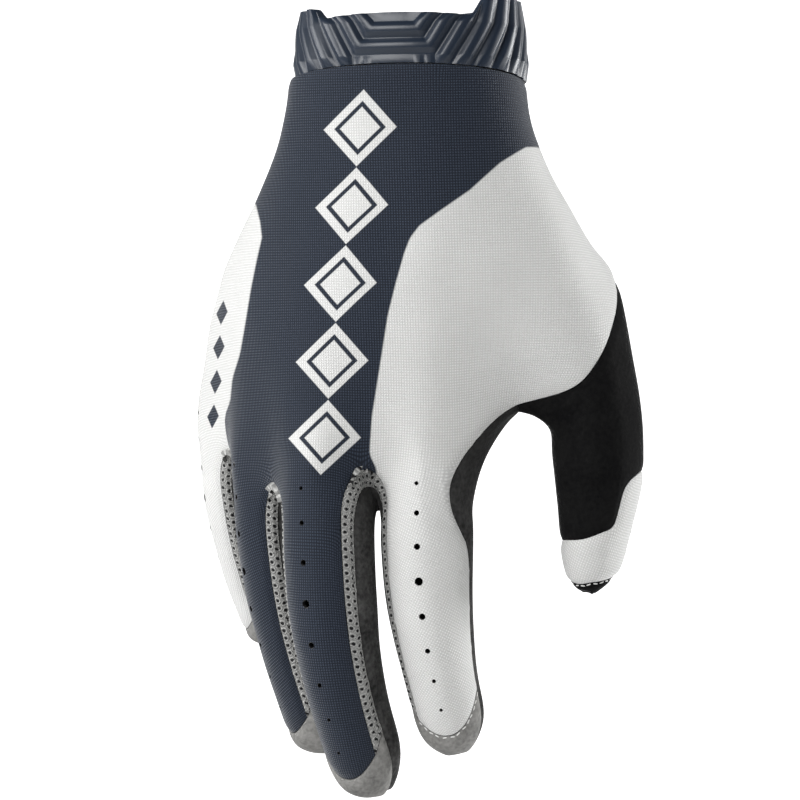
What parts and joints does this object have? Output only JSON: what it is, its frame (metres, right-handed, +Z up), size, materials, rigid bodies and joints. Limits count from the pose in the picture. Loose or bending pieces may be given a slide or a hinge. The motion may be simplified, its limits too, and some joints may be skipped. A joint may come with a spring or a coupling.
{
  "type": "motocross glove",
  "caption": "Right-hand motocross glove shaped as worn: moulded ribbed cuff, printed knit back, mesh between the fingers, suede palm and capped fingertips.",
  "frame": {"origin": "middle of the wrist opening, 1 mm above the cuff's edge over the back of the hand", "axes": "+Z up through the wrist opening with the fingers hanging down, -Y the way the back of the hand faces, +X towards the thumb"},
  "size_m": [0.1229, 0.0734, 0.2071],
  "materials": {
    "moulded_rubber": "satin moulded rubber, navy",
    "printed_knit": "fine polyester knit printed in navy and white",
    "white_knit": "fine white polyester knit",
    "dark_suede": "synthetic suede, black",
    "grey_suede": "synthetic suede, light grey",
    "grey_mesh": "open stretch mesh, grey"
  },
  "bodies": {
    "root": {"cuff": "moulded_rubber", "back_shell": "printed_knit", "palm": "dark_suede", "thumb_panel": "dark_suede", "thumb_tip": "white_knit", "thumb_tip_cap": "dark_suede", "fourchette_little_ring": "grey_mesh", "fourchette_ring_middle": "grey_mesh", "fourchette_middle_index": "grey_mesh", "tip_cap_little": "grey_suede", "tip_cap_ring": "grey_suede", "tip_cap_middle": "grey_suede", "tip_cap_index": "grey_suede"}
  },
  "joints": []
}
